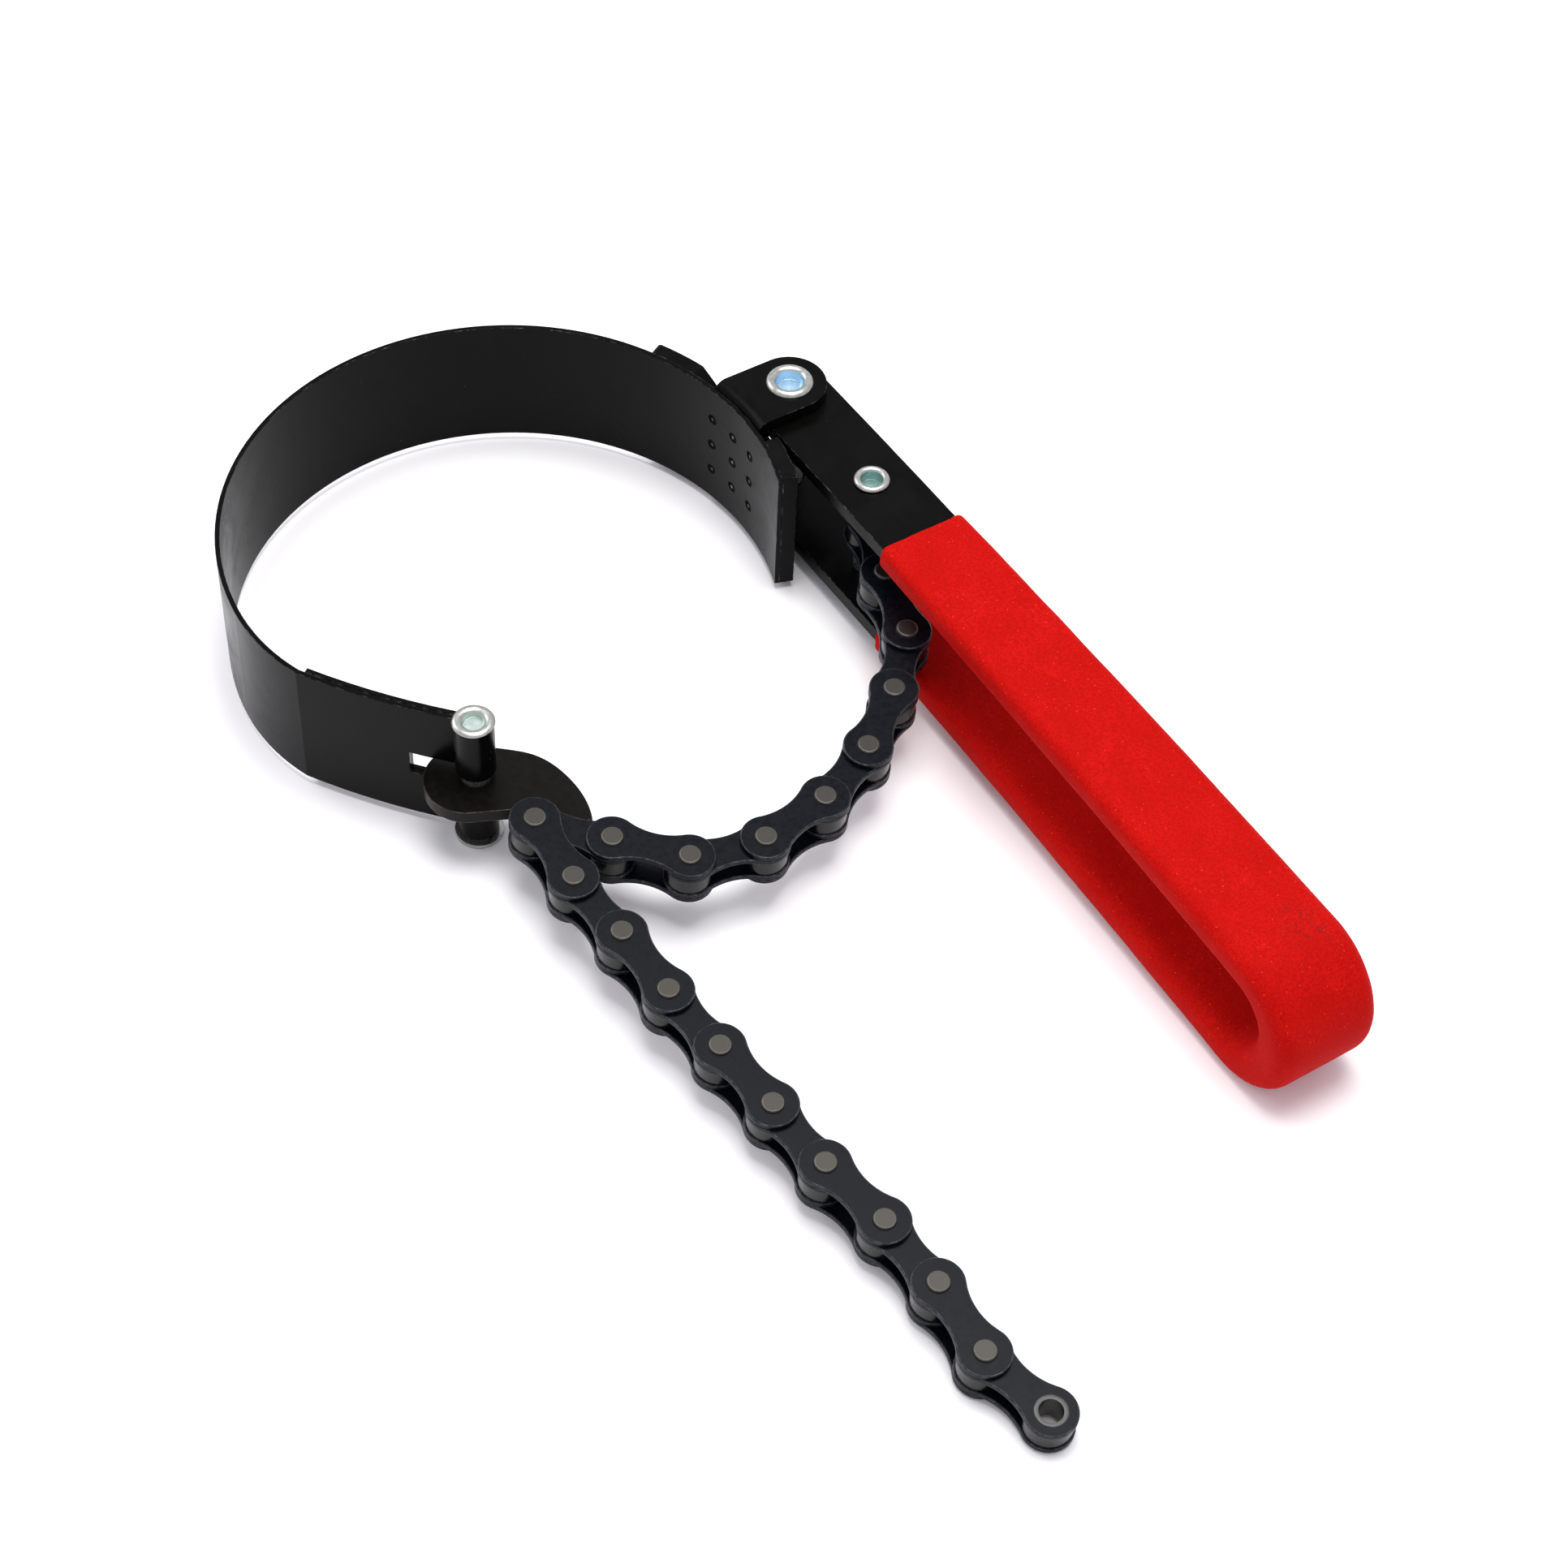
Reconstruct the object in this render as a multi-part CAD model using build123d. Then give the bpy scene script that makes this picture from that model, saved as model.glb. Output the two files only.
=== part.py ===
from build123d import *
import math
import os

# Oil filter wrench: a steel band with a riveted handle, closed by a roller chain and a hook.
# Millimetres. The origin is the centre of the band's circle, on the surface the tool lies on.
# +Z is up, along the filter's axis, and +X runs along the handle towards its closed end.

# Driving dimensions: the band and its bracket
mid_z = 14.3                   # height of the plane that halves the band, the rivets and the handle
band_inner_radius = 46.8
band_thickness = 0.8
band_height = 25.4
band_end_angle = 71.7          # where the band stops, under the bracket
band_round_end_angle = 265.0   # where the round part eases into the part that leads to the crease
crease_point = (12.6, -44.9)   # on the band's outer face
crease_heading = 32.5          # direction of the band's outer face just after the crease
run_end_point = (33.6, -28.2)  # on the band's outer face, where it meets the knuckle
lap_gap = 0.12                 # between the band and its end, which is folded back inside
lap_setback = 1.2              # how far the folded end stops short of the crease
lap_heading = 33.1             # direction of the folded end where it stops
dimple_angles = (87.7, 94.3, 101.2)
dimple_pitch_z = 6.0
dimple_radius = 1.0
dimple_depth = 0.5
dimple_floor_radius = 0.7
dimple_bump_radius = 0.36       # the small bump in the middle of each dimple
end_slope_angle = 80.0         # where the band's and the bracket's top edge starts to slope down
end_slope_drop = 0.8

bracket_thickness = 2.5
bracket_far_angle = 119.0
bracket_corner_radius = 1.0
relief_depth = 3.0             # of the notches beside each ear
near_relief = (83.2, 83.8, 87.0, 87.0)       # angles: mouth, floor, floor, mouth
far_relief = (100.8, 100.8, 103.0, 107.8)
ear_half_width = 6.4
ear_thickness = 2.35
ear_inner_half_gap = 11.6
ear_hole_gap = 0.05            # round the pivot rivet
ear_bend_radius = 2.2
ear_bend_start, ear_bend_spread = 83.0, 20.0   # degrees: the part of the wall that carries the ears

# Driving dimensions: rivets. Each has a flat head below and a rim rolled from its hollow end above.
pivot_x, pivot_y = -3.3, 57.8
pivot_shank_radius = 3.0
pivot_bore_radius = 2.4
pivot_bore_depth = 2.3
pivot_rim_radius = 4.1
pivot_rim_height = 0.8
pivot_head_radius = 4.3
anchor_distance = 25.5         # from the pivot rivet to the chain's rivet, along the handle
anchor_shank_radius = 2.25
anchor_bore_radius = 1.8
anchor_bore_depth = 2.2
anchor_rim_radius = 3.1
anchor_rim_height = 0.8
anchor_head_radius = 3.4
anchor_head_height = 0.8
anchor_seat_gap = 0.08         # lets the flat rim and head sit on the sloping legs
anchor_hole_gap = 0.03
hook_x, hook_y = 36.1, -25.55
hook_shank_radius = 2.3
hook_bore_radius = 1.85
hook_bore_depth = 1.4
hook_rim_radius = 3.5
hook_rim_height = 0.65
hook_head_radius = 4.0
hook_head_height = 0.9
knuckle_inner_radius = 2.5
knuckle_outer_radius = 3.3

# Driving dimensions: handle
strap_width = 14.6
strap_thickness = 2.6
strap_half_height = 11.35      # outer faces of the two legs, from the middle
bend_reach = 139.4             # from the pivot rivet to the middle of the bend
handle_heading = 0.9
handle_bow = 1.3               # both legs arch upwards by this much
pivot_hole_radius = 3.35
grip_start = 40.2              # from the pivot rivet
grip_start_thickness = 1.15
grip_end_thickness = 2.25      # the dipped coat gets thicker towards the bend
grip_web = 1.5                 # extra thickness inside the bend
grip_edge_radius = 0.8
grip_fit_gap = 0.02

# Driving dimensions: hook plate
hook_plate_thickness = 2.4
hook_plate_mid_z = 12.7
hook_lobe_radius = 7.2
hook_lobe_shift = (-0.2, -1.45)   # the lobe's centre, from the hook rivet
hook_hole_radius = 2.4
claw_joint = 9                 # the chain joint whose roller the claw catches
claw_clearance = 0.35
claw_heading = 37.0            # direction of the claw's straight inner edge
claw_length = 7.2              # of the straight inner edge
claw_tip_width = 1.1
claw_tip_turn = 55.0
claw_seat_low_angle = 179.0    # the seat runs round the roller from here to the inner edge
# the outer edge passes here, from the hook rivet
claw_back = ((14.6, 12.4), (7.8, 12.6), (0.8, 10.15), (-3.4, 5.8))
neck_low_angle, neck_high_angle = -20.0, 137.0   # on the lobe
slot_half_height = 2.4
slot_mid_z = 13.8
slot_reach = 11.2              # from the hook rivet's axis back along the band

# Driving dimensions: chain, half-inch pitch
pitch = 12.7
plate_end_radius = 4.15
plate_waist = 2.7
inner_half_width = 1.65
inner_plate_thickness = 0.95
outer_plate_thickness = 0.92
outer_plate_gap = 0.08
plate_edge_chamfer = 0.14
pin_radius = 1.83
pin_half_length = 4.05
pin_end_chamfer = 0.2
bush_outer_radius = 2.5
bush_inner_radius = 1.88
roller_radius = 3.875
roller_bore_radius = 2.56
roller_half_width = 1.58
seat_gap = 0.01                # between a pin or bush and the plate that it is pressed into
anchor_plate_hole_radius = 2.6
chain_anchor_z = 14.9
chain_floor_gap = 0.03
# Direction of each link in the chain's own plane, in degrees, from the handle to the free end.
link_headings = (
    -21.5, -15.5, -42.5, -52.0, -65.5, -80.0, -102.5, -135.0, -136.0,
    -1.0, 6.5, 4.0, 7.5, 7.5, 6.5, 11.5, 5.5, -1.0, 15.5,
)
last_pin = 18                  # the last joint that has a pin: its lower end touches the surface


def polar(radius, angle):
    """A point in plan, from the band's centre."""
    return (radius * math.cos(math.radians(angle)), radius * math.sin(math.radians(angle)))


def sector(inner, outer, start, end):
    """A ring sector in plan between two angles."""
    middle = (start + end) / 2
    outline = [
        ThreePointArc(polar(outer, start), polar(outer, middle), polar(outer, end)),
        Line(polar(outer, end), polar(inner, end)),
        ThreePointArc(polar(inner, end), polar(inner, middle), polar(inner, start)),
        Line(polar(inner, start), polar(outer, start)),
    ]
    return make_face(Curve() + outline)


def slab(sketch, low, high):
    """A plan outline made solid between two heights."""
    return extrude(Pos(0, 0, low) * sketch, high - low)


def save(shape, name):
    shape.label = name
    export_step(shape, "parts/" + name + ".step")


def group(name, solids):
    save(Compound(children=list(solids)), name)


# Band ------------------------------------------------------------------------------------------
band_outer_radius = band_inner_radius + band_thickness
band_low = mid_z - band_height / 2
band_high = mid_z + band_height / 2


def direction(angle):
    return (math.cos(math.radians(angle)), math.sin(math.radians(angle)))


def arc_end_heading(start, end, heading):
    """Heading at the end of an arc that leaves start at a heading and reaches end."""
    chord = math.degrees(math.atan2(end[1] - start[1], end[0] - start[0]))
    return 2 * chord - heading


def shifted(point, heading, distance):
    """A point moved to the left of a heading: inwards, for the band."""
    angle = math.radians(heading + 90)
    return (point[0] + distance * math.cos(angle), point[1] + distance * math.sin(angle))


def bent_strip(start, end, heading, offset, thickness):
    """A strip along an arc, offset inwards from the line that the arc describes."""
    end_heading = arc_end_heading(start, end, heading)
    outer_start = shifted(start, heading, offset)
    outer_end = shifted(end, end_heading, offset)
    inner_start = shifted(start, heading, offset + thickness)
    inner_end = shifted(end, end_heading, offset + thickness)
    outline = [
        TangentArc(outer_start, outer_end, tangent=direction(heading)),
        Line(outer_end, inner_end),
        TangentArc(inner_start, inner_end, tangent=direction(heading)),
        Line(inner_start, outer_start),
    ]
    return make_face(Curve() + outline)


round_end = polar(band_outer_radius, band_round_end_angle)
round_heading = band_round_end_angle - 270
run_heading = arc_end_heading(crease_point, run_end_point, crease_heading)


def corner_cutter():
    """Takes off the top corner at the end of the band and its bracket, along a sloping line."""
    angle = math.radians(end_slope_angle - band_end_angle)
    length = (band_outer_radius + bracket_thickness) * angle
    slope = math.degrees(math.atan2(end_slope_drop, length))
    x, y = polar(band_outer_radius, end_slope_angle)
    size = 8 * end_slope_drop
    tool = Pos(size / 2, 0, size / 2) * Box(size, size, size)
    place = Pos(x, y, band_high) * Rot(0, 0, end_slope_angle - 90) * Rot(0, slope, 0)
    return place * tool


def band():
    plan = sector(band_inner_radius, band_outer_radius, band_end_angle, band_round_end_angle)
    plan += bent_strip(round_end, crease_point, round_heading, 0, band_thickness)
    plan += bent_strip(crease_point, run_end_point, crease_heading, 0, band_thickness)
    hook = Pos(hook_x, hook_y)
    # The run is carried on to the knuckle, and the lap comes back from it on the inside.
    run_x, run_y = direction(run_heading)
    to_knuckle = (hook_x - run_end_point[0]) * run_x + (hook_y - run_end_point[1]) * run_y
    tail = Pos(*run_end_point) * Rot(0, 0, run_heading)
    plan += tail * Pos(to_knuckle / 2, band_thickness / 2) * Rectangle(to_knuckle, band_thickness)
    plan += hook * (Circle(knuckle_outer_radius) - Circle(knuckle_inner_radius))
    lap_offset = band_thickness + lap_gap
    lap_start = (crease_point[0] + lap_setback * direction(crease_heading)[0],
                 crease_point[1] + lap_setback * direction(crease_heading)[1])
    plan += bent_strip(lap_start, run_end_point, lap_heading, lap_offset, band_thickness)
    plan += tail * Pos(to_knuckle / 2, lap_offset + band_thickness / 2) * Rectangle(
        to_knuckle, band_thickness)
    plan -= hook * Circle(knuckle_inner_radius)
    solid = slab(plan, band_low, band_high)
    slot_length = slot_reach + 2 * knuckle_outer_radius
    slot = tail * Pos(to_knuckle + knuckle_outer_radius - slot_reach / 2, 0) * Rectangle(
        slot_length, slot_length)
    solid -= slab(slot, slot_mid_z - slot_half_height, slot_mid_z + slot_half_height)
    solid -= corner_cutter()
    for angle in dimple_angles:
        for row in (-1, 0, 1):
            floor = Pos(*polar(band_inner_radius + dimple_depth, angle), mid_z + row * dimple_pitch_z)
            dent = Cone(dimple_floor_radius, dimple_radius, dimple_depth,
                        align=(Align.CENTER, Align.CENTER, Align.MIN))
            dent -= Cylinder(dimple_bump_radius, dimple_depth)
            solid -= floor * Rot(0, 0, angle) * Rot(0, -90, 0) * dent
    return solid


save(band(), "band")


# Bracket with its two ears -----------------------------------------------------------------------
def ear_bend_cutter(inner, side):
    """Rounds the edge over which an ear bends outwards from the wall."""
    edge = ear_inner_half_gap + ear_thickness
    radius = ear_bend_radius
    corner = Pos(inner, edge) * Rectangle(2 * radius, 2 * radius)
    corner -= Pos(inner + radius, edge - radius) * Circle(radius)
    corner -= Pos(inner + 2 * radius, edge) * Rectangle(2 * radius, 4 * radius)
    spread = ear_bend_spread
    cutter = revolve(Plane.XZ * corner, Axis.Z, spread)
    cutter = Rot(0, 0, ear_bend_start) * cutter
    if side < 0:
        cutter = mirror(cutter, Plane.XY)
    return Pos(0, 0, mid_z) * cutter


def relief_cutter(angles):
    """The notch beside an ear, in the wall's top edge: angles of its mouth, floor, floor, mouth."""
    middle = (angles[0] + angles[3]) / 2
    reach = band_outer_radius + bracket_thickness
    across = [reach * math.tan(math.radians(angle - middle)) for angle in angles]
    heights = (band_high, band_high - relief_depth, band_high - relief_depth, band_high)
    outline = [(across[0], band_high + 1), *zip(across, heights), (across[3], band_high + 1)]
    face = Plane(origin=(0, 0, 0), x_dir=(0, 1, 0), z_dir=(1, 0, 0)) * make_face(
        Polyline(*outline, close=True))
    return Rot(0, 0, middle) * Pos(band_inner_radius - 2, 0) * extrude(face, 3 * bracket_thickness + 2)


def bracket():
    inner, outer = band_outer_radius, band_outer_radius + bracket_thickness
    wall = slab(sector(inner, outer, band_end_angle, bracket_far_angle), band_low, band_high)
    far_corners = [
        edge for edge in wall.edges()
        if abs(edge.length - bracket_thickness) < 0.01
        and abs(math.degrees(math.atan2(edge.center().Y, edge.center().X)) - bracket_far_angle) < 0.1
    ]
    wall = fillet(far_corners, bracket_corner_radius)
    for angles in (near_relief, far_relief):
        cutter = relief_cutter(angles)
        wall -= cutter
        wall -= Pos(0, 0, 2 * mid_z) * mirror(cutter, Plane.XY)
    wall -= corner_cutter()
    ear_root_y = band_outer_radius - 2 * bracket_thickness
    tongue = Pos(pivot_x, pivot_y) * Circle(ear_half_width)
    tongue += Pos(pivot_x, (pivot_y + ear_root_y) / 2) * Rectangle(
        2 * ear_half_width, pivot_y - ear_root_y)
    tongue -= Circle(inner)
    for side in (-1, 1):
        near = mid_z + side * ear_inner_half_gap
        far = mid_z + side * (ear_inner_half_gap + ear_thickness)
        wall += slab(tongue, min(near, far), max(near, far))
    for side in (-1, 1):
        wall -= ear_bend_cutter(inner, side)
    rivet_hole = Cylinder(pivot_shank_radius + ear_hole_gap, 2 * band_height)
    return wall - Pos(pivot_x, pivot_y, mid_z) * rivet_hole


save(bracket(), "bracket")


# Rivets with a hollow end ------------------------------------------------------------------------
def rivet(shank, head, head_height, rim, rim_height, bore, bore_depth, low, high):
    """A rivet on the Z axis: a flat head at the low end, a rim rolled from the bored high end."""
    seat = high - rim_height
    lip = high - 0.6 * rim_height
    edge = min(head_height, rim_height) * 0.3
    outline = [
        Line((0, low), (head - edge, low)),
        Line((head - edge, low), (head, low + edge)),
        Line((head, low + edge), (head, low + head_height)),
        Line((head, low + head_height), (shank, low + head_height)),
        Line((shank, low + head_height), (shank, seat)),
        Line((shank, seat), (rim - edge, seat)),
        Line((rim - edge, seat), (rim, seat + edge)),
        ThreePointArc((rim, seat + edge), (rim - 0.45 * (rim - bore), high), (bore, lip)),
        Line((bore, lip), (bore, high - bore_depth)),
        Line((bore, high - bore_depth), (0, high - bore_depth)),
        Line((0, high - bore_depth), (0, low)),
    ]
    return revolve(Plane.XZ * make_face(Curve() + outline), Axis.Z)


pivot_top = mid_z + ear_inner_half_gap + ear_thickness + pivot_rim_height
hook_top = band_high + hook_rim_height
save(Pos(pivot_x, pivot_y) * rivet(
    pivot_shank_radius, pivot_head_radius, mid_z - ear_inner_half_gap - ear_thickness,
    pivot_rim_radius, pivot_rim_height, pivot_bore_radius, pivot_bore_depth,
    0, pivot_top), "pivot_rivet")
save(Pos(hook_x, hook_y) * rivet(
    hook_shank_radius, hook_head_radius, hook_head_height, hook_rim_radius, hook_rim_height,
    hook_bore_radius, hook_bore_depth, 0, hook_top), "hook_rivet")


# Handle: strap, grip and the chain's rivet -------------------------------------------------------
# The handle is drawn about its pivot, along X, and then laid down until its bend touches the surface.
handle_droop = math.degrees(math.asin(
    (mid_z - strap_half_height - grip_end_thickness) / bend_reach))
handle_place = Pos(pivot_x, pivot_y, mid_z) * Rot(0, 0, handle_heading) * Rot(0, handle_droop, 0)
bow_radius = bend_reach ** 2 / (8 * handle_bow) + handle_bow / 2


def bowed(x, offset):
    """A point beside the handle's arched middle line, in the XZ plane."""
    lean = math.asin((x - bend_reach / 2) / bow_radius)
    reach = bow_radius + offset
    return (bend_reach / 2 + reach * math.sin(lean), handle_bow - bow_radius + reach * math.cos(lean))


def leg_line(start, end, start_offset, end_offset):
    """One long side of a leg: an arc whose distance from the middle line may change evenly."""
    middle = bowed((start + end) / 2, (start_offset + end_offset) / 2)
    return ThreePointArc(bowed(start, start_offset), middle, bowed(end, end_offset))


def bend_line(x, offset):
    """The half circle from the lower leg to the upper leg."""
    lean = math.asin((x - bend_reach / 2) / bow_radius)
    centre_x, centre_z = bowed(x, 0)
    tip = (centre_x + offset * math.cos(lean), centre_z - offset * math.sin(lean))
    return ThreePointArc(bowed(x, -offset), tip, bowed(x, offset))


def hairpin(start, outer, inner, bend_inset, width):
    """A strip bent back on itself; outer and inner are offsets at its start and at its bend."""
    inner_bend = bend_reach - bend_inset
    outline = [
        leg_line(start, bend_reach, outer[0], outer[1]),
        bend_line(bend_reach, outer[1]),
        leg_line(start, bend_reach, -outer[0], -outer[1]),
        Line(bowed(start, -outer[0]), bowed(start, -inner[0])),
        leg_line(start, inner_bend, -inner[0], -inner[1]),
        bend_line(inner_bend, inner[1]),
        leg_line(start, inner_bend, inner[0], inner[1]),
        Line(bowed(start, inner[0]), bowed(start, outer[0])),
    ]
    return Pos(0, width / 2, 0) * extrude(Plane.XZ * make_face(Curve() + outline), width)


def strap_strip(start, gap):
    """The strap's full-width strip, grown all round by a gap."""
    outer = strap_half_height + gap
    inner = strap_half_height - strap_thickness - gap
    return hairpin(start, (outer, outer), (inner, inner), 0, strap_width + 2 * gap)


def handle_strap():
    strap = strap_strip(-strap_width, 0)
    # The two ends are round, about the pivot rivet.
    plan = Circle(strap_width / 2)
    plan += Pos(bend_reach, 0) * Rectangle(2 * bend_reach, strap_width)
    strap &= slab(plan, -2 * strap_half_height, 2 * strap_half_height)
    strap -= Cylinder(pivot_hole_radius, 4 * strap_half_height)
    anchor_hole = Cylinder(anchor_shank_radius + anchor_hole_gap, 4 * strap_half_height)
    return strap - Pos(anchor_distance, 0) * anchor_hole


def grip_sleeve():
    thin, thick = grip_start_thickness, grip_end_thickness
    leg_inner = strap_half_height - strap_thickness
    sleeve = hairpin(
        grip_start, (strap_half_height + thin, strap_half_height + thick),
        (leg_inner - thin, leg_inner - thick), grip_web, 2 * strap_width)
    end = bend_reach + 2 * strap_half_height
    growth = (thick - thin) * (end - grip_start) / (bend_reach - grip_start)
    near, far = strap_width / 2 + thin, strap_width / 2 + thin + growth
    plan = make_face(Polyline(
        (grip_start - 1, near), (grip_start, near), (end, far), (end, -far), (grip_start, -near),
        (grip_start - 1, -near), close=True))
    sleeve &= slab(plan, -2 * strap_half_height, 2 * strap_half_height)
    rims = [
        edge for edge in sleeve.edges()
        if abs(edge.center().Y) > strap_width / 2 + thin / 2 and edge.center().X > grip_start + 5
    ]
    sleeve = fillet(rims, grip_edge_radius)
    return sleeve - strap_strip(grip_start - 1, grip_fit_gap)


anchor_low, anchor_high = bowed(anchor_distance, -strap_half_height)[1], bowed(
    anchor_distance, strap_half_height)[1]
save(handle_place * handle_strap(), "handle_strap")
save(handle_place * grip_sleeve(), "grip_sleeve")
save(handle_place * Pos(anchor_distance, 0) * rivet(
    anchor_shank_radius, anchor_head_radius, anchor_head_height, anchor_rim_radius, anchor_rim_height,
    anchor_bore_radius, anchor_bore_depth, anchor_low - anchor_seat_gap - anchor_head_height,
    anchor_high + anchor_seat_gap + anchor_rim_height), "chain_rivet")


# Chain -------------------------------------------------------------------------------------------
anchor_step_x, anchor_step_y = polar(anchor_distance, handle_heading)
anchor_x, anchor_y = pivot_x + anchor_step_x, pivot_y + anchor_step_y
joint_points = [(0.0, 0.0)]
for heading in link_headings:
    x, y = joint_points[-1]
    step_x, step_y = direction(heading)
    joint_points.append((x + pitch * step_x, y + pitch * step_y))
# The chain's plane slopes down from the handle until its last pin touches the surface.
chain_slope = math.degrees(math.asin(
    (chain_anchor_z - pin_half_length - chain_floor_gap) / (joint_points[last_pin][0] + pin_radius)))
chain_place = Pos(anchor_x, anchor_y, chain_anchor_z) * Rot(0, chain_slope, 0)


def link_outline():
    """A figure-eight side plate, from one joint to the next along X."""
    half = pitch / 2
    side_radius = ((half ** 2 + plate_waist ** 2 - plate_end_radius ** 2)
                   / (2 * (plate_end_radius - plate_waist)))
    side_y = plate_waist + side_radius
    touch = plate_end_radius / (plate_end_radius + side_radius)
    touch_x, touch_y = half * (1 - touch), side_y * touch
    plan = Circle(plate_end_radius) + Pos(pitch, 0) * Circle(plate_end_radius)
    plan += Pos(half, 0) * Rectangle(2 * touch_x, 2 * touch_y)
    for sign in (-1, 1):
        plan -= Pos(half, sign * side_y) * Circle(side_radius)
    return plan


def side_plates(inner_face, thickness, holes):
    """The pair of side plates of one link; holes are the radii at its two joints."""
    plan = link_outline()
    plate = chamfer(extrude(plan, thickness).edges().filter_by(Plane.XY), plate_edge_chamfer)
    for hole_x, radius in zip((0, pitch), holes):
        plate -= Pos(hole_x, 0) * Cylinder(radius, 10)
    return [Pos(0, 0, inner_face) * plate, Pos(0, 0, -inner_face - thickness) * plate]


def tube(radius, bore, half_width):
    return Cylinder(radius, 2 * half_width) - Cylinder(bore, 3 * half_width)


def pin():
    body = Cylinder(pin_radius, 2 * pin_half_length)
    return chamfer(body.edges().filter_by(GeomType.CIRCLE), pin_end_chamfer)


ends = (Pos(0, 0), Pos(pitch, 0))
bush_hole = bush_outer_radius + seat_gap
bush_half_length = inner_half_width + inner_plate_thickness
inner_plates = side_plates(inner_half_width, inner_plate_thickness, (bush_hole, bush_hole))
first_plates = side_plates(
    inner_half_width, inner_plate_thickness, (anchor_plate_hole_radius, bush_hole))
outer_plates = side_plates(
    bush_half_length + outer_plate_gap, outer_plate_thickness,
    (pin_radius + seat_gap, pin_radius + seat_gap))
bush = tube(bush_outer_radius, bush_inner_radius, bush_half_length)
roller = tube(roller_radius, roller_bore_radius, roller_half_width)
link_pin = pin()

for index, heading in enumerate(link_headings, start=1):
    name = f"link_{index:02d}"
    place = chain_place * Pos(*joint_points[index - 1]) * Rot(0, 0, heading)
    if index % 2:
        plates = first_plates if index == 1 else inner_plates
        bush_ends = ends[1:] if index == 1 else ends
        group(name + "_plates", [place * plate for plate in plates])
        group(name + "_bushes", [place * end * bush for end in bush_ends])
        group(name + "_rollers", [place * end * roller for end in ends])
    else:
        group(name + "_plates", [place * plate for plate in outer_plates])
        group(name + "_pins", [place * end * link_pin for end in ends])


# Hook plate --------------------------------------------------------------------------------------
catch_x = anchor_x + joint_points[claw_joint][0] * math.cos(math.radians(chain_slope))
catch_y = anchor_y + joint_points[claw_joint][1]


def around(x, y, radius, angle):
    """A point in plan at a distance and angle from another."""
    step_x, step_y = polar(radius, angle)
    return (x + step_x, y + step_y)


def hook_plate():
    seat = roller_radius + claw_clearance
    square = claw_heading + 90
    seat_low = around(catch_x, catch_y, seat, claw_seat_low_angle)
    seat_middle = around(catch_x, catch_y, seat, (claw_seat_low_angle + square) / 2)
    inner_start = around(catch_x, catch_y, seat, square)
    tip_inner = around(*inner_start, claw_length, claw_heading)
    tip_outer = around(*tip_inner, claw_tip_width, claw_heading + claw_tip_turn)
    lobe_x, lobe_y = hook_x + hook_lobe_shift[0], hook_y + hook_lobe_shift[1]
    neck_low = around(lobe_x, lobe_y, hook_lobe_radius, neck_low_angle)
    neck_high = around(lobe_x, lobe_y, hook_lobe_radius, neck_high_angle)
    back = [(hook_x + x, hook_y + y) for x, y in claw_back]
    outline = [
        Line(neck_low, seat_low),
        ThreePointArc(seat_low, seat_middle, inner_start),
        Line(inner_start, tip_inner),
        Line(tip_inner, tip_outer),
        Spline(tip_outer, *back, neck_high),
        Line(neck_high, neck_low),
    ]
    plan = Pos(lobe_x, lobe_y) * Circle(hook_lobe_radius) + make_face(Curve() + outline)
    plan -= Pos(catch_x, catch_y) * Circle(seat)
    plan -= Pos(hook_x, hook_y) * Circle(hook_hole_radius)
    half = hook_plate_thickness / 2
    return slab(plan, hook_plate_mid_z - half, hook_plate_mid_z + half)


save(hook_plate(), "hook_plate")

print("handle droop", round(handle_droop, 3), "chain slope", round(chain_slope, 3))
print("anchor", round(anchor_x, 3), round(anchor_y, 3))
print("catch", round(catch_x, 2), round(catch_y, 2))
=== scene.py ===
import math

import bpy
from mathutils import Matrix, Vector, noise

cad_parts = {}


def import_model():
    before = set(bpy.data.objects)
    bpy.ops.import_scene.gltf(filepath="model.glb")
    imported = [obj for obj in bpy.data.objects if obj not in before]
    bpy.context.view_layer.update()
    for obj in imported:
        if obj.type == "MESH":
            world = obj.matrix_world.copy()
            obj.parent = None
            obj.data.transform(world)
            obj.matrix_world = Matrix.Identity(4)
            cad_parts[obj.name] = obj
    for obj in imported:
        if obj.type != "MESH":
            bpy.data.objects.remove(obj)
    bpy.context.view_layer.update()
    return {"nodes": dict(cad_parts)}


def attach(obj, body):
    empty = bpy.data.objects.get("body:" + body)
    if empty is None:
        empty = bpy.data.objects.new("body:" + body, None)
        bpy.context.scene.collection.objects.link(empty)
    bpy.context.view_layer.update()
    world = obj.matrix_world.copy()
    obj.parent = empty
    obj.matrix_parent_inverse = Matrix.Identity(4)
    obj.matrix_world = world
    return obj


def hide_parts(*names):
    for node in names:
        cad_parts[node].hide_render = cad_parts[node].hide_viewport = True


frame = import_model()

MM = 0.001

# Numbers shared with the CAD model, in millimetres and degrees
PIVOT = Vector((-3.3, 57.8, 14.3))           # the pivot rivet, at the band's middle height
HANDLE_HEADING = 0.9
HANDLE_DROOP = 0.288
HANDLE_BOW = 1.3              # both legs arch upwards by this much
ANCHOR_DISTANCE = 25.5        # from the pivot to the chain's rivet
PIVOT_BORE, CHAIN_BORE, HOOK_BORE = 2.4, 1.8, 1.85           # radii of the rivets' bores
HOOK = Vector((36.1, -25.55, 14.3))          # the hook's rivet
STRAP_WIDTH = 14.6
STRAP_THICKNESS = 2.6
STRAP_HALF_HEIGHT = 11.35
BEND_REACH = 139.4            # from the pivot to the middle of the bend
GRIP_START = 40.2             # from the pivot to the sleeve's edge
GRIP_THIN, GRIP_THICK = 1.15, 2.25           # the coat at its start and at the bend
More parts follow.
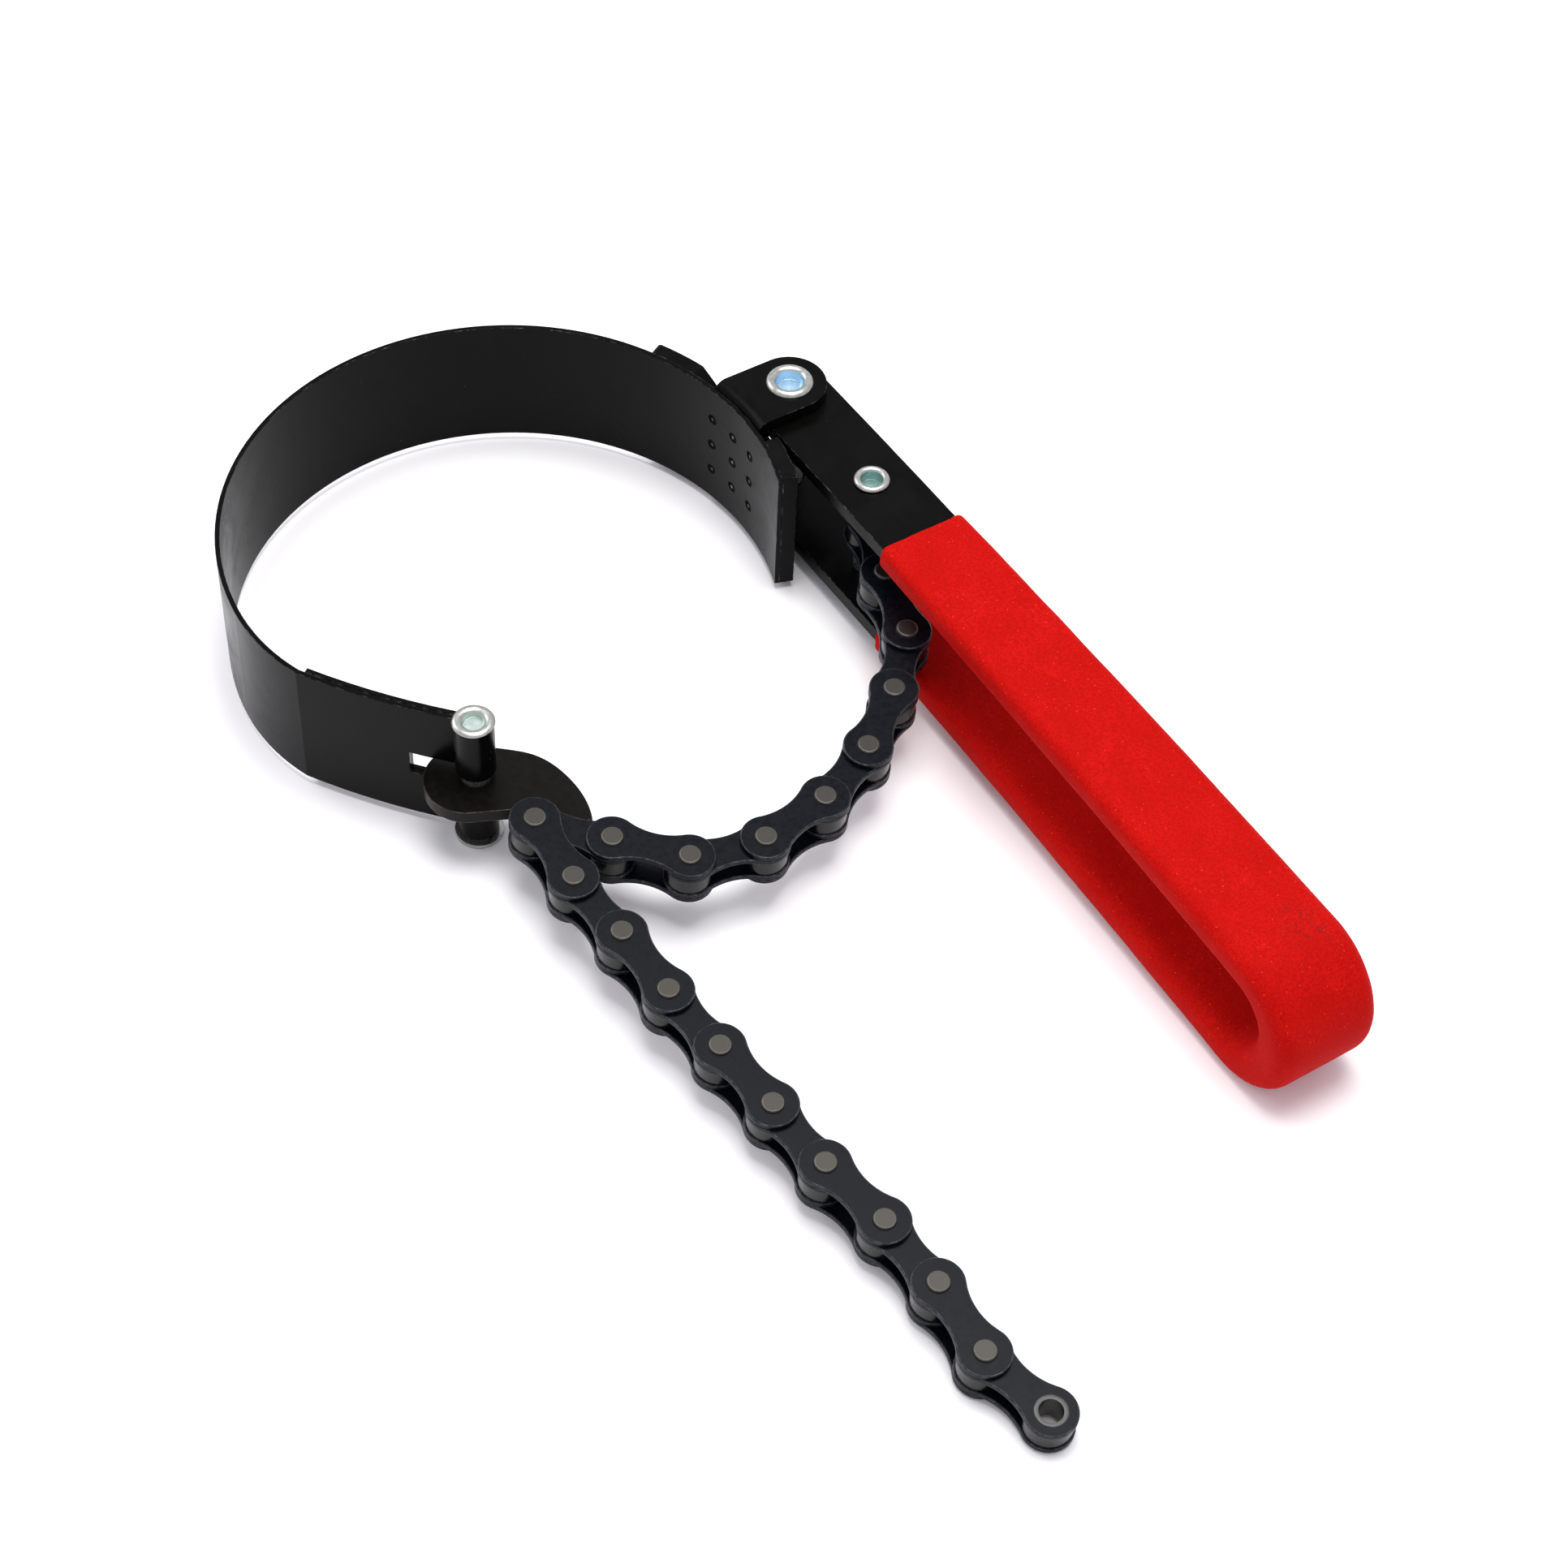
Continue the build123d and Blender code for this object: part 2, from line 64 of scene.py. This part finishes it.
GRIP_WEB = 1.5                # extra thickness inside the bend
BAND_RADIUS = 46.8            # of the band's inner face
DIMPLE_ANGLES = (87.7, 94.3, 101.2)
DIMPLE_PITCH = 6.0            # between the rows of dimples

HANDLE_PLACE = (Matrix.Translation(PIVOT)
                @ Matrix.Rotation(math.radians(HANDLE_HEADING), 4, "Z")
                @ Matrix.Rotation(math.radians(HANDLE_DROOP), 4, "Y"))
ANCHOR = HANDLE_PLACE @ Vector((ANCHOR_DISTANCE, 0, 0))
SMUDGE = HANDLE_PLACE @ Vector((BEND_REACH - 0.5, 3.8, STRAP_HALF_HEIGHT + GRIP_THICK))
DIMPLES = [(BAND_RADIUS * math.cos(math.radians(angle)),
            BAND_RADIUS * math.sin(math.radians(angle)),
            PIVOT.z + row * DIMPLE_PITCH)
           for angle in DIMPLE_ANGLES for row in (-1, 0, 1)]


# Node materials ----------------------------------------------------------------------------------
class Material:
    """A Principled material and short ways to add nodes to it. Lengths in the textures are in mm."""

    def __init__(self, name):
        self.material = bpy.data.materials.new(name)
        self.material.use_nodes = True
        self.nodes = self.material.node_tree.nodes
        self.links = self.material.node_tree.links
        self.shader = self.nodes["Principled BSDF"]
        coordinates = self.nodes.new("ShaderNodeTexCoord")
        self.place = self.add("ShaderNodeVectorMath", "SCALE",
                              Vector=coordinates.outputs["Object"], Scale=1 / MM)

    def feed(self, socket, value):
        if isinstance(value, bpy.types.NodeSocket):
            self.links.new(value, socket)
        else:
            socket.default_value = value

    def add(self, kind, operation=None, output=0, settings=(), **inputs):
        made = self.nodes.new(kind)
        if operation:
            made.operation = operation
        for key, value in dict(settings).items():
            setattr(made, key, value)
        for key, value in inputs.items():
            self.feed(made.inputs[key.replace("_", " ")], value)
        return made.outputs[output]

    def math(self, operation, first, second=0.0, third=0.0, clamp=False):
        made = self.nodes.new("ShaderNodeMath")
        made.operation, made.use_clamp = operation, clamp
        for socket, value in zip(made.inputs, (first, second, third)):
            self.feed(socket, value)
        return made.outputs[0]

    def noise(self, size, detail=3.0, roughness=0.5, distortion=0.0, place=None):
        """Noise from 0 to 1 whose blobs are about the given size in mm."""
        return self.add("ShaderNodeTexNoise", Vector=place or self.place, Scale=1 / size, Detail=detail,
                        Roughness=roughness, Distortion=distortion)

    def range(self, value, low, high, out_low=0.0, out_high=1.0):
        made = self.nodes.new("ShaderNodeMapRange")
        made.interpolation_type = "SMOOTHSTEP"
        for socket, number in zip(made.inputs, (value, low, high, out_low, out_high)):
            self.feed(socket, number)
        return made.outputs[0]

    def mix(self, amount, first, second):
        made = self.nodes.new("ShaderNodeMix")
        made.data_type = "RGBA"
        self.feed(made.inputs[0], amount)
        for socket, value in zip((made.inputs[6], made.inputs[7]), (first, second)):
            self.feed(socket, (*value, 1.0) if isinstance(value, tuple) else value)
        return made.outputs[2]

    def specks(self, spacing, size, share):
        """Small round spots: one cell every spacing mm, of which a share holds a spot of the given size."""
        cells = self.nodes.new("ShaderNodeTexVoronoi")
        self.feed(cells.inputs["Vector"], self.place)
        cells.inputs["Scale"].default_value = 1 / spacing
        near = self.range(cells.outputs["Distance"], size / spacing, 0.5 * size / spacing)
        chance = self.add("ShaderNodeSeparateColor", Color=cells.outputs["Color"])
        chosen = self.math("LESS_THAN", chance, share)
        return self.math("MULTIPLY", near, chosen)

    def edges(self, radius, reach=0.22):
        """1 along sharp edges, 0 elsewhere, and the normal of the rounded edge."""
        bevel = self.nodes.new("ShaderNodeBevel")
        bevel.samples = 4
        bevel.inputs["Radius"].default_value = radius * MM
        flat = self.nodes.new("ShaderNodeNewGeometry").outputs["Normal"]
        dot = self.nodes.new("ShaderNodeVectorMath")
        dot.operation = "DOT_PRODUCT"
        self.links.new(bevel.outputs[0], dot.inputs[0])
        self.links.new(flat, dot.inputs[1])
        return self.range(dot.outputs["Value"], 1.0, 1 - reach), bevel.outputs[0]

    def radius_from(self, centre, tilt):
        """Distance in mm from an upright axis through a point, leaning towards +X by tilt degrees."""
        lean = math.tan(math.radians(tilt))
        parts = self.nodes.new("ShaderNodeSeparateXYZ")
        self.feed(parts.inputs[0], self.place)
        up = self.math("MULTIPLY", self.math("SUBTRACT", parts.outputs[2], centre.z), lean)
        x = self.math("SUBTRACT", self.math("SUBTRACT", parts.outputs[0], centre.x), up)
        y = self.math("SUBTRACT", parts.outputs[1], centre.y)
        squares = self.math("ADD", self.math("MULTIPLY", x, x), self.math("MULTIPLY", y, y))
        return self.math("SQRT", squares)

    def nearest(self, centres):
        """Distance in mm to the nearest of some points."""
        least = None
        for centre in centres:
            far = self.nodes.new("ShaderNodeVectorMath")
            far.operation = "DISTANCE"
            self.feed(far.inputs[0], self.place)
            far.inputs[1].default_value = centre
            least = self.math("MINIMUM", least, far.outputs["Value"]) if least else far.outputs["Value"]
        return least

    def bump(self, height, strength, distance, normal=None):
        made = self.nodes.new("ShaderNodeBump")
        made.inputs["Strength"].default_value = strength
        made.inputs["Distance"].default_value = distance * MM
        self.feed(made.inputs["Height"], height)
        if normal:
            self.feed(made.inputs["Normal"], normal)
        return made.outputs[0]

    def finish(self, **inputs):
        for key, value in inputs.items():
            socket = self.shader.inputs[key.replace("_", " ")]
            value = (*value, 1.0) if isinstance(value, tuple) and socket.type == "RGBA" else value
            self.feed(socket, value)
        return self.material


def enamel(name, tint, roughness, wear, dust, gloss, dents=()):
    """Semi-gloss black enamel over steel: a fine orange peel, smudges, dust and bright worn edges.

    Each dent is painted near-black as painted shade and made rougher, and the small bump in the middle of each
    gets a grey, metallic painted highlight.
    """
    m = Material(name)
    edge, normal = m.edges(0.25)
    patches = m.range(m.noise(1.6, 4, 0.65), 0.46, 0.70)
    bare_metal_and_highlight = m.math("MULTIPLY", m.math("MULTIPLY", edge, patches), wear, clamp=True)
    smudges = m.noise(9, 4, 0.6, 0.6)
    colour = m.mix(m.range(smudges, 0.35, 0.75), tint, tuple(1.7 * c for c in tint))
    dusty = m.math("MULTIPLY", m.specks(2.6, 0.07, 0.3), dust)
    colour = m.mix(dusty, colour, (0.30, 0.30, 0.29))
    colour = m.mix(bare_metal_and_highlight, colour, (0.20, 0.195, 0.18))
    rough = m.range(smudges, 0.3, 0.75, roughness - 0.05, roughness + 0.09)
    rough = m.math("ADD", rough, m.math("MULTIPLY", dusty, 0.3))
    if dents:
        reach = m.nearest(dents)
        # painted shade: each dimple is painted near-black; a painted highlight: its centre is painted bright
        # grey
        painted_pit_shade = m.range(reach, 1.2, 0.85)
        bump = m.range(reach, 0.4, 0.28)
        colour = m.mix(bump, m.mix(painted_pit_shade, colour, (0.0004, 0.0004, 0.0004)), (0.10, 0.10, 0.10))
        rough = m.math("ADD", rough, m.math("MULTIPLY", m.math("SUBTRACT", painted_pit_shade, bump), 0.6), clamp=True)
        # the edge wear, plus the painted highlight that makes each dent's centre metallic
        bare_metal_and_highlight = m.math("ADD", m.math("MULTIPLY", bare_metal_and_highlight, m.math("SUBTRACT", 1.0, painted_pit_shade)), bump, clamp=True)
    peel = m.bump(m.noise(0.35, 2), 0.10, 0.02, normal)
    return m.finish(Base_Color=colour, Metallic=bare_metal_and_highlight, Roughness=rough, Normal=peel,
                    Specular_IOR_Level=gloss)


def oxide(name, tint, roughness, edge_tint, wear):
    """Chemically blackened steel: satin, mottled, with lighter edges."""
    m = Material(name)
    edge, normal = m.edges(0.24, 0.15)
    mottle = m.noise(1.1, 5, 0.65)
    patches = m.range(m.noise(0.9, 3), 0.35, 0.65, 0.35, 1.0)
    worn = m.math("MULTIPLY", m.math("MULTIPLY", edge, patches), wear, clamp=True)
    colour = m.mix(m.range(mottle, 0.3, 0.75), tint, tuple(1.5 * c for c in tint))
    specks = m.specks(1.9, 0.06, 0.35)
    colour = m.mix(m.math("MULTIPLY", specks, 0.7), colour, (0.22, 0.21, 0.2))
    colour = m.mix(worn, colour, edge_tint)
    rough = m.range(mottle, 0.3, 0.8, roughness - 0.06, roughness + 0.1)
    grain = m.bump(m.noise(0.12, 3), 0.12, 0.012, normal)
    return m.finish(Base_Color=colour, Metallic=worn, Roughness=rough, Normal=grain,
                    Specular_IOR_Level=0.09)


def bare_steel(name, tint, roughness, scale=0.16):
    """Ground or drawn steel with a fine grain, small dark pits and a painted highlight along every edge."""
    m = Material(name)
    edge, normal = m.edges(0.28, 0.10)
    grain = m.noise(scale, 4, 0.7)
    colour = m.mix(m.range(grain, 0.3, 0.7), tuple(0.72 * c for c in tint), tint)
    colour = m.mix(m.specks(0.7, 0.08, 0.35), colour, tuple(0.35 * c for c in tint))
    # painted highlight: every edge is painted much brighter than the steel
    colour = m.mix(m.math("MULTIPLY", edge, 0.8), colour, tuple(min(1.0, 4.5 * c) for c in tint))
    rough = m.range(grain, 0.3, 0.75, roughness - 0.08, roughness + 0.1)
    return m.finish(Base_Color=colour, Metallic=0.9, Roughness=rough,
                    Normal=m.bump(grain, 0.15, 0.01, normal))


def zinc(name, centre, tilt, bore, bore_tint_and_painted_light):
    """Bright zinc plate; down in the bore the colour is partly the passivated coat's tint and partly painted
    light in the shaded bore.
    """
    m = Material(name)
    edge, normal = m.edges(0.25)
    drawn = m.noise(0.9, 3, 0.5)
    colour = m.mix(m.range(drawn, 0.3, 0.7), (0.42, 0.43, 0.40), (0.50, 0.51, 0.48))
    colour = m.mix(m.specks(1.6, 0.07, 0.15), colour, (0.25, 0.25, 0.24))
    inside = m.range(m.radius_from(centre, tilt), bore + 0.15, bore - 0.05)
    # the bore is painted a lighter tint: partly passivation colour, partly painted light where shade falls
    colour = m.mix(inside, colour, bore_tint_and_painted_light)
    rough = m.range(drawn, 0.3, 0.75, 0.26, 0.36)
    return m.finish(Base_Color=colour, Metallic=0.92, Roughness=rough,
                    Normal=m.bump(drawn, 0.10, 0.01, normal))


def vinyl(name, smudge):
    """Dip-coated vinyl: matt red with a pebbled grain, sparkling specks, a little dirt and one grey smudge."""
    m = Material(name)
    pebble = m.noise(0.42, 3, 0.65)
    cloud = m.noise(6, 4, 0.6)
    colour = m.mix(m.range(cloud, 0.3, 0.75), (0.43, 0.0040, 0.0026), (0.50, 0.0058, 0.0038))
    colour = m.mix(m.range(pebble, 0.60, 0.40, 0.0, 0.75), colour, (0.34, 0.0024, 0.0016))
    colour = m.mix(m.specks(0.8, 0.13, 0.30), colour, (0.74, 0.040, 0.030))
    colour = m.mix(m.specks(7.0, 0.22, 0.20), colour, (0.13, 0.004, 0.006))
    around = m.range(m.nearest([smudge]), 6.5, 0.5)
    rubbed = m.math("MULTIPLY", around, m.range(m.noise(1.5, 5, 0.7, 0.8), 0.48, 0.66))
    colour = m.mix(m.math("MULTIPLY", rubbed, 0.75), colour, (0.10, 0.010, 0.010))
    rough = m.range(pebble, 0.3, 0.7, 0.55, 0.72)
    height = m.math("ADD", m.math("MULTIPLY", pebble, 0.8), m.math("MULTIPLY", m.noise(1.3, 2), 0.5))
    return m.finish(Base_Color=colour, Roughness=rough, Normal=m.bump(height, 0.8, 0.09),
                    Specular_IOR_Level=0.03, Subsurface_Weight=0.12,
                    Subsurface_Scale=0.0012, Subsurface_Radius=(1.0, 0.15, 0.1))


band_enamel = enamel("enamel_band", (0.0014, 0.0014, 0.0016), 0.24, 1.0, 0.5, 0.07, DIMPLES)
thick_enamel = enamel("enamel_thick", (0.0018, 0.0017, 0.0015), 0.26, 1.0, 0.8, 0.06)
hook_oxide = oxide("oxide_hook", (0.0028, 0.0022, 0.0016), 0.36, (0.20, 0.16, 0.14), 0.9)
plate_oxide = oxide("oxide_plates", (0.0020, 0.0027, 0.0048), 0.30, (0.20, 0.21, 0.23), 0.9)
roller_steel = bare_steel("steel_rollers", (0.026, 0.025, 0.024), 0.22, 0.4)
pin_steel = bare_steel("steel_pins", (0.052, 0.049, 0.044), 0.42)
bush_steel = bare_steel("steel_bushes", (0.055, 0.055, 0.053), 0.34)
red_vinyl = vinyl("vinyl_red", SMUDGE)

LOOKS = {
    "band": band_enamel,
    "bracket": thick_enamel,
    "handle_strap": thick_enamel,
    "hook_plate": hook_oxide,
    "grip_sleeve": red_vinyl,
    "pivot_rivet": zinc("zinc_pivot", PIVOT, 0.0, PIVOT_BORE, (0.56, 0.77, 0.93)),
    "chain_rivet": zinc("zinc_chain", ANCHOR, HANDLE_DROOP, CHAIN_BORE, (0.36, 0.54, 0.52)),
    "hook_rivet": zinc("zinc_hook", HOOK, 0.0, HOOK_BORE, (0.58, 0.68, 0.64)),
    "plates": plate_oxide,
    "rollers": roller_steel,
    "pins": pin_steel,
    "bushes": bush_steel,
}


def paint(piece, material):
    piece.data.materials.clear()
    piece.data.materials.append(material)


for node_name, node_object in frame["nodes"].items():
    look = LOOKS.get(node_name) or LOOKS[node_name.rsplit("_", 1)[-1]]
    if node_object.type == "MESH":
        for slot_index in range(len(node_object.material_slots)):
            node_object.material_slots[slot_index].material = look


# The dipped grip ---------------------------------------------------------------------------------
GRIP_SEAT = 0.02              # between the strap and the sleeve
GRIP_LIP = 0.9                # length over which the sleeve's ends round off
GRIP_LIP_STEPS = 6
GRIP_SWELL = 0.16             # how deep the uneven coating dips under its full thickness
GRIP_RAGGED = 0.35            # how far the sleeve's edge wanders along the strap
GRIP_SPACING = 0.8            # between the mesh's rings
GRIP_CORE_STEPS = 120         # rings along the strap, inside the sleeve
STRAP_CORNER = 0.2            # radius
CORNER_SHARE = 1.25           # growth of the corner's radius with the coat's thickness


def rounded_rectangle(width, height, radius, across=12, upright=3, corner=7):
    """Points round a rectangle with round corners, the same number for every size."""
    points = []
    x, y = width / 2 - radius, height / 2 - radius
    sides = ((1, 1, upright), (-1, 1, across), (-1, -1, upright), (1, -1, across))
    for quarter, (sign_x, sign_y, count) in enumerate(sides):
        for step in range(corner):
            angle = math.pi / 2 * (quarter + step / (corner - 1))
            points.append((sign_x * x + radius * math.cos(angle), sign_y * y + radius * math.sin(angle)))
        next_x, next_y, gap = (sides[(quarter + 1) % 4][0] * x, sides[(quarter + 1) % 4][1] * y,
                               across if quarter % 2 == 0 else upright)
        turn = math.pi / 2 * (quarter + 1)
        last = points[-1]
        goal = (next_x + radius * math.cos(turn), next_y + radius * math.sin(turn))
        for step in range(1, gap):
            part = step / gap
            points.append((last[0] + (goal[0] - last[0]) * part, last[1] + (goal[1] - last[1]) * part))
    return points


LEG = BEND_REACH - GRIP_START
MIDDLE = STRAP_HALF_HEIGHT - STRAP_THICKNESS / 2     # of the strap's thickness
BOW_RADIUS = BEND_REACH ** 2 / (8 * HANDLE_BOW) + HANDLE_BOW / 2
BOW_CENTRE = Vector((BEND_REACH / 2, 0, HANDLE_BOW - BOW_RADIUS))


def hairpin_frame(distance):
    """A point of the strap's middle line, the outward direction there, its reach and its turn round the fold.

    The distance is measured along the strap from the sleeve's upper edge, in the handle's frame.
    """
    turn = min(math.pi, max(0.0, (distance - LEG) / MIDDLE))
    x = GRIP_START + distance if distance < LEG else BEND_REACH
    if turn == math.pi:
        x = BEND_REACH - (distance - LEG - math.pi * MIDDLE)
    lean = math.asin((x - BEND_REACH / 2) / BOW_RADIUS)
    centre = BOW_CENTRE + Vector((math.sin(lean), 0, math.cos(lean))) * BOW_RADIUS
    outward = Vector((math.sin(lean + turn), 0, math.cos(lean + turn)))
    return centre + outward * MIDDLE, outward, x, turn


def grip_ring(distance, part):
    """One loop of the sleeve's skin: part 0 lies on the strap, part 1 is the full thickness."""
    middle, outward, x, turn = hairpin_frame(distance)
    full = GRIP_THIN + (GRIP_THICK - GRIP_THIN) * (x - GRIP_START) / LEG
    offset = GRIP_SEAT + (full - GRIP_SEAT) * part
    web = GRIP_WEB * part * math.sin(turn)
    height = STRAP_THICKNESS + 2 * offset
    radius = STRAP_CORNER + CORNER_SHARE * full * part
    points = []
    for u, v in rounded_rectangle(STRAP_WIDTH + 2 * offset, height, radius):
        v += web * min(0.0, v / (height / 2))
        points.append(middle + Vector((0, u, 0)) + outward * v)
    return points


def grip():
    """The sleeve as one closed skin: outside from edge to edge, and back along the strap."""
    length = 2 * LEG + math.pi * MIDDLE
    lip = [(GRIP_LIP * (1 - math.cos(a)), math.sin(a))
           for a in (math.pi / 2 * step / GRIP_LIP_STEPS for step in range(GRIP_LIP_STEPS + 1))]
    count = round(length / GRIP_SPACING)
    along = [GRIP_LIP + (length - 2 * GRIP_LIP) * step / count for step in range(1, count)]
    stations = lip + [(distance, 1.0) for distance in along]
    stations += [(length - distance, part) for distance, part in reversed(lip)]
    points, rings = [], 0
    for distance, part in stations:
        loop = grip_ring(distance, part)
        core = grip_ring(distance, 0)
        for point, base in zip(loop, core):
            away = point - base
            swell = noise.noise(point / 9) * 0.6 + noise.noise(point / 3.5) * 0.4
            point = point - away.normalized() * GRIP_SWELL * part * (0.5 + 0.5 * swell)
            from_edge = min(distance, length - distance)
            if from_edge < 3 * GRIP_LIP:
                ragged = GRIP_RAGGED * noise.noise(Vector((point.y / 3, point.z / 3, 7.0)))
                fade = 1 - from_edge / (3 * GRIP_LIP)
                point = point + Vector((ragged * fade, 0, 0))
            points.append(point)
        rings += 1
    for step in range(1, GRIP_CORE_STEPS):
        points += grip_ring(length * (1 - step / GRIP_CORE_STEPS), 0)
        rings += 1
    size = len(points) // rings
    faces = []
    for ring in range(rings):
        after = (ring + 1) % rings
        for index in range(size):
            side = (index + 1) % size
            faces.append((ring * size + index, ring * size + side,
                          after * size + side, after * size + index))
    mesh = bpy.data.meshes.new("grip_sleeve_vinyl")
    mesh.from_pydata([HANDLE_PLACE @ point * MM for point in points], [], faces)
    mesh.validate()
    for polygon in mesh.polygons:
        polygon.use_smooth = True
    mesh.update()
    piece = bpy.data.objects.new("grip_sleeve_vinyl", mesh)
    bpy.context.scene.collection.objects.link(piece)
    paint(piece, red_vinyl)
    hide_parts("grip_sleeve")
    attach(piece, "handle")


grip()


# The room: a pale floor, soft light and the camera ----------------------------------------------
FLOOR_HALF = 3.0              # metres


def floor():
    mesh = bpy.data.meshes.new("floor")
    sides = ((-1, -1), (1, -1), (1, 1), (-1, 1))
    mesh.from_pydata([(x * FLOOR_HALF, y * FLOOR_HALF, 0) for x, y in sides], [], [(0, 1, 2, 3)])
    piece = bpy.data.objects.new("floor", mesh)
    bpy.context.scene.collection.objects.link(piece)
    m = Material("floor_paper")
    shade = m.range(m.noise(40, 2), 0.3, 0.7, 0.0, 1.0)
    piece.data.materials.append(m.finish(Base_Color=m.mix(shade, (0.93, 0.92, 0.94), (0.95, 0.945, 0.955)),
                                         Roughness=0.75, Specular_IOR_Level=0.2))


def area_light(name, place, aim, size, watts, tint=(1, 1, 1)):
    data = bpy.data.lights.new(name, "AREA")
    data.shape, data.size = "SQUARE", size
    data.energy, data.color = watts, tint
    light = bpy.data.objects.new(name, data)
    bpy.context.scene.collection.objects.link(light)
    light.location = place
    light.rotation_mode = "QUATERNION"
    light.rotation_quaternion = (Vector(aim) - Vector(place)).to_track_quat("-Z", "Y")


CAMERA_PLACE = Vector((365.8, -187.7, 449.9)) * MM
CAMERA_HEADING = 146.09       # degrees from +X towards +Y
CAMERA_PITCH = 50.04          # below level
CAMERA_ROLL = 2.62
LENS, SENSOR = 81.26, 36.0


def camera():
    data = bpy.data.cameras.new("camera")
    data.lens, data.sensor_width = LENS, SENSOR
    data.clip_start, data.clip_end = 0.01, 20.0
    made = bpy.data.objects.new("camera", data)
    bpy.context.scene.collection.objects.link(made)
    heading, pitch, roll = (math.radians(a) for a in (CAMERA_HEADING, CAMERA_PITCH, CAMERA_ROLL))
    forward = Vector((math.cos(heading) * math.cos(pitch),
                      math.sin(heading) * math.cos(pitch),
                      -math.sin(pitch)))
    level = Vector((math.sin(heading), -math.cos(heading), 0))
    up = level.cross(forward)
    right = level * math.cos(roll) + up * math.sin(roll)
    up = up * math.cos(roll) - level * math.sin(roll)
    turn = Matrix((right, up, -forward)).transposed()
    made.matrix_world = Matrix.Translation(CAMERA_PLACE) @ turn.to_4x4()
    bpy.context.scene.camera = made


WORLD_TINT = (0.95, 0.94, 1.0, 1.0)
WORLD_STRENGTH = 0.78


def world():
    made = bpy.data.worlds.new("world")
    made.use_nodes = True
    background = made.node_tree.nodes["Background"]
    background.inputs["Color"].default_value = WORLD_TINT
    background.inputs["Strength"].default_value = WORLD_STRENGTH
    bpy.context.scene.world = made


floor()
world()
area_light("light_top", (0.0, 0.12, 1.2), (0.06, 0.0, 0.0), 0.7, 13.5, (1.0, 0.99, 0.97))
area_light("light_left", (-0.9, -0.5, 0.7), (0.0, 0.0, 0.0), 0.7, 4)
camera()
bpy.context.scene.view_settings.view_transform = "Standard"
